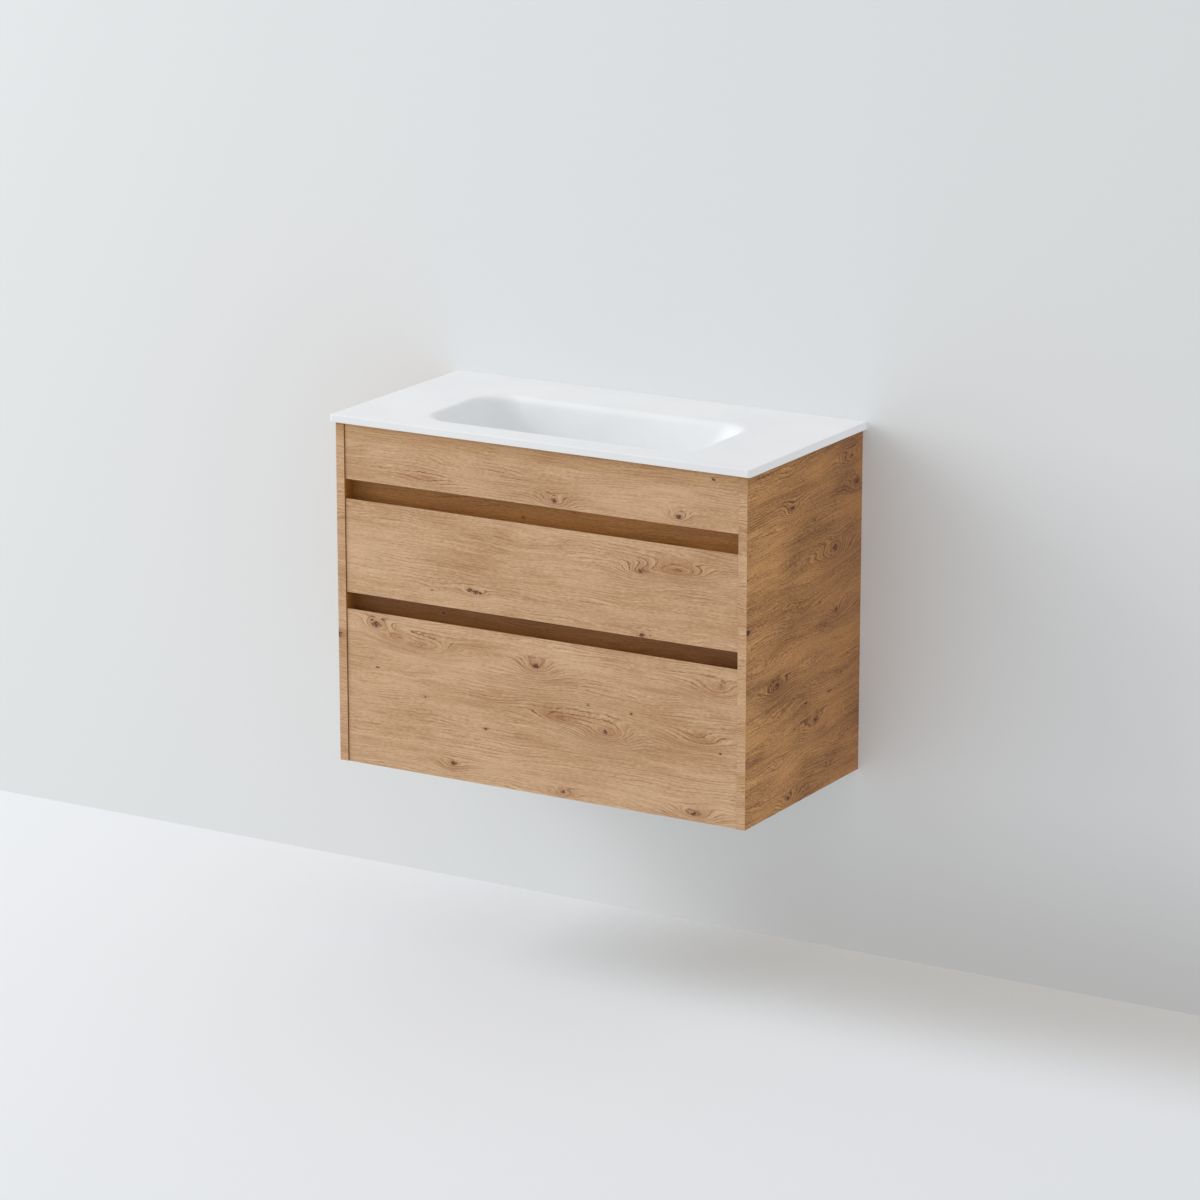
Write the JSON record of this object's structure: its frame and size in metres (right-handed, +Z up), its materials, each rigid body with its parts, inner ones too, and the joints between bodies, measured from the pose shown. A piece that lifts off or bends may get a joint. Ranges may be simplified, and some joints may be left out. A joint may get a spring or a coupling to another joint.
{
  "type": "floating vanity",
  "caption": "Wall-hung vanity in oak decor: moulded washbasin, handleless drawers with finger recesses on ball-bearing runners, waste, trap and wall hangers.",
  "frame": {"origin": "middle of the cabinet's lower rear edge, on the wall plane, at the back face of the lower rear rail", "axes": "+X to the right seen from the front, +Y into the wall, +Z up; the drawers open towards -Y"},
  "size_m": [0.81, 0.41, 0.61],
  "materials": {
    "oak_decor": "oak decor with a fine embossed grain, matt",
    "carcass_board": "warm grey melamine-faced board, matt",
    "basin": "white cast mineral, satin",
    "zinc_steel": "zinc-plated steel",
    "chrome": "polished chrome",
    "white_plastic": "moulded polypropylene",
    "grey_plastic": "moulded plastic, fine grain",
    "seal_rubber": "rubber, matt",
    "dowel_wood": "fluted beech"
  },
  "bodies": {
    "cabinet": {"left_side_panel": "oak_decor", "right_side_panel": "oak_decor", "bottom_panel": "carcass_board", "front_stretcher": "carcass_board", "top_fascia": "oak_decor", "upper_grip_rail": "oak_decor", "lower_grip_rail": "oak_decor", "rear_top_rail": "carcass_board", "rear_bottom_rail": "carcass_board", "hanger_left": "zinc_steel", "hanger_right": "zinc_steel", "wall_plate_left": "zinc_steel", "wall_plate_right": "zinc_steel", "washbasin": "basin", "waste_flange": "chrome", "waste_seal": "seal_rubber", "waste_nut": "zinc_steel", "trap_tube": "white_plastic", "trap_nuts": "white_plastic", "trap_body": "white_plastic", "trap_cup": "white_plastic", "outlet_pipe": "white_plastic", "cam_locks": "zinc_steel", "cam_bolts": "zinc_steel", "dowels": "dowel_wood", "cabinet_screws": "zinc_steel", "upper_outer_runner_left": "zinc_steel", "upper_outer_runner_right": "zinc_steel", "lower_outer_runner_left": "zinc_steel", "lower_outer_runner_right": "zinc_steel"},
    "waste_plug": {"waste_plug": "chrome"},
    "upper_drawer": {"upper_drawer_front": "oak_decor", "upper_box_left": "carcass_board", "upper_box_right": "carcass_board", "upper_box_subfront": "carcass_board", "upper_box_back_left": "carcass_board", "upper_box_back_right": "carcass_board", "upper_box_bottom": "carcass_board", "plumbing_guard": "grey_plastic", "upper_inner_runner_left": "zinc_steel", "upper_inner_runner_right": "zinc_steel", "upper_drawer_screws": "zinc_steel"},
    "lower_drawer": {"lower_drawer_front": "oak_decor", "lower_box_left": "carcass_board", "lower_box_right": "carcass_board", "lower_box_subfront": "carcass_board", "lower_box_back": "carcass_board", "lower_box_bottom": "carcass_board", "lower_inner_runner_left": "zinc_steel", "lower_inner_runner_right": "zinc_steel", "lower_drawer_screws": "zinc_steel"},
    "upper_middle_runners": {"upper_middle_runner_left": "zinc_steel", "upper_middle_runner_right": "zinc_steel"},
    "lower_middle_runners": {"lower_middle_runner_left": "zinc_steel", "lower_middle_runner_right": "zinc_steel"},
    "upper_outer_cages": {"upper_outer_ball_cages": "zinc_steel"},
    "upper_inner_cages": {"upper_inner_ball_cages": "zinc_steel"},
    "lower_outer_cages": {"lower_outer_ball_cages": "zinc_steel"},
    "lower_inner_cages": {"lower_inner_ball_cages": "zinc_steel"}
  },
  "joints": [
    {"name": "plug_lift", "type": "slide", "parent": "cabinet", "child": "waste_plug", "axis": [0, 0, 1], "range_m": [0, 0.008]},
    {"name": "upper_drawer_slide", "type": "slide", "parent": "cabinet", "child": "upper_drawer", "axis": [0, -1, 0], "range_m": [0, 0.35]},
    {"name": "upper_middle_slide", "type": "slide", "parent": "cabinet", "child": "upper_middle_runners", "axis": [0, -1, 0], "range_m": [0, 0.175]},
    {"name": "upper_outer_cage_slide", "type": "slide", "parent": "cabinet", "child": "upper_outer_cages", "axis": [0, -1, 0], "range_m": [0, 0.0875]},
    {"name": "upper_inner_cage_slide", "type": "slide", "parent": "cabinet", "child": "upper_inner_cages", "axis": [0, -1, 0], "range_m": [0, 0.2625]},
    {"name": "lower_drawer_slide", "type": "slide", "parent": "cabinet", "child": "lower_drawer", "axis": [0, -1, 0], "range_m": [0, 0.35]},
    {"name": "lower_middle_slide", "type": "slide", "parent": "cabinet", "child": "lower_middle_runners", "axis": [0, -1, 0], "range_m": [0, 0.175]},
    {"name": "lower_outer_cage_slide", "type": "slide", "parent": "cabinet", "child": "lower_outer_cages", "axis": [0, -1, 0], "range_m": [0, 0.0875]},
    {"name": "lower_inner_cage_slide", "type": "slide", "parent": "cabinet", "child": "lower_inner_cages", "axis": [0, -1, 0], "range_m": [0, 0.2625]}
  ],
  "couplings": [
    {"joint": "upper_middle_slide", "follows": "upper_drawer_slide", "ratio": 0.5},
    {"joint": "upper_outer_cage_slide", "follows": "upper_drawer_slide", "ratio": 0.25},
    {"joint": "upper_inner_cage_slide", "follows": "upper_drawer_slide", "ratio": 0.75},
    {"joint": "lower_middle_slide", "follows": "lower_drawer_slide", "ratio": 0.5},
    {"joint": "lower_outer_cage_slide", "follows": "lower_drawer_slide", "ratio": 0.25},
    {"joint": "lower_inner_cage_slide", "follows": "lower_drawer_slide", "ratio": 0.75}
  ]
}
